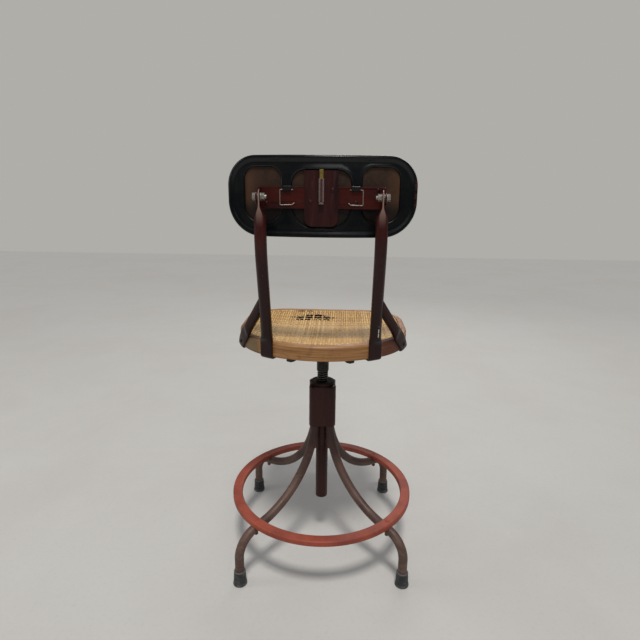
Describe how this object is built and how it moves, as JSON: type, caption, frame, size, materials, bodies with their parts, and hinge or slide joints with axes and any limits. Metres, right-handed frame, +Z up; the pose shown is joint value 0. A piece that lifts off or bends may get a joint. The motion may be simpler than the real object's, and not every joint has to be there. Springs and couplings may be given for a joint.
{
  "type": "operator chair",
  "caption": "Raised swivel chair: caned wooden seat on a screw spindle, tilting padded backrest on bent tube posts, four bent tube legs with a foot ring.",
  "frame": {"origin": "on the floor, below the spindle axis", "axes": "+Z up, +X towards the sitter's left, +Y towards the back of the seat (the sitter faces -Y)"},
  "size_m": [0.48, 0.48, 1.0025],
  "materials": {
    "hub": "worn gloss paint over a rough casting",
    "base_tube": "old brown paint, dull",
    "ring_paint": "red-brown paint, rubbed by shoes",
    "rubber": "dull, scuffed",
    "oiled_steel": "dark, oiled",
    "seat_iron": "black paint, dull",
    "wood": "worn varnish",
    "cane": "natural cane, satin",
    "back_tube": "gloss oxblood paint",
    "bolt": "bright zinc",
    "bar_paint": "gloss oxblood paint",
    "channel": "tarnished",
    "brass": "tarnished",
    "shell_paint": "black enamel, gloss",
    "fibre": "raw fibreboard",
    "pad": "brown leathercloth, worn",
    "spring_wire": "spring wire, dull"
  },
  "bodies": {
    "base": {"hub_casting": "hub", "hub_nut": "hub", "column_tube": "back_tube", "leg_rear_left": "base_tube", "leg_rear_right": "base_tube", "leg_front_right": "base_tube", "leg_front_left": "base_tube", "foot_ring": "ring_paint", "ring_bolts": "ring_paint", "ring_nuts": "seat_iron", "foot_rear_left": "rubber", "foot_rear_right": "rubber", "foot_front_right": "rubber", "foot_front_left": "rubber"},
    "lift": {"stop_washer": "bolt"},
    "seat": {"spindle_screw": "oiled_steel", "stop_nut": "bolt", "spindle_collar": "seat_iron", "seat_iron": "seat_iron", "iron_screws": "seat_iron", "seat_rim": "wood", "seat_cane": "cane", "post_left": "back_tube", "post_right": "back_tube", "brace_left": "back_tube", "brace_right": "back_tube", "post_screws": "seat_iron", "brace_bolts": "bolt", "pivot_bolt_left": "bolt", "pivot_bolt_right": "bolt", "pivot_nut_left": "bolt", "pivot_nut_right": "bolt", "pivot_washers": "bolt"},
    "back": {"crossbar": "bar_paint", "centre_plate": "bar_paint", "bar_rivets": "bar_paint", "catch_channel": "channel", "back_shell": "shell_paint", "backing_panel": "fibre", "back_pad": "pad", "clip_left": "spring_wire", "clip_right": "spring_wire"},
    "catch": {"catch_bolt": "brass"}
  },
  "joints": [
    {"name": "seat_height", "type": "slide", "parent": "base", "child": "lift", "axis": [0, 0, 1], "range_m": [-0.0241, 0.2281]},
    {"name": "seat_turn", "type": "hinge", "parent": "lift", "child": "seat", "pos_m": [0, 0, 0.4], "axis": [0, 0, 1], "range_deg": [-1440, 13680]},
    {"name": "back_tilt", "type": "hinge", "parent": "seat", "child": "back", "pos_m": [0, 0.216, 0.922], "axis": [-1, 0, 0], "range_deg": [-10, 20]},
    {"name": "catch_slide", "type": "slide", "parent": "back", "child": "catch", "axis": [0, 0, -1], "range_m": [0, 0.008]}
  ],
  "couplings": [
    {"joint": "seat_height", "follows": "seat_turn", "m_per_rad": 0.00095493}
  ]
}
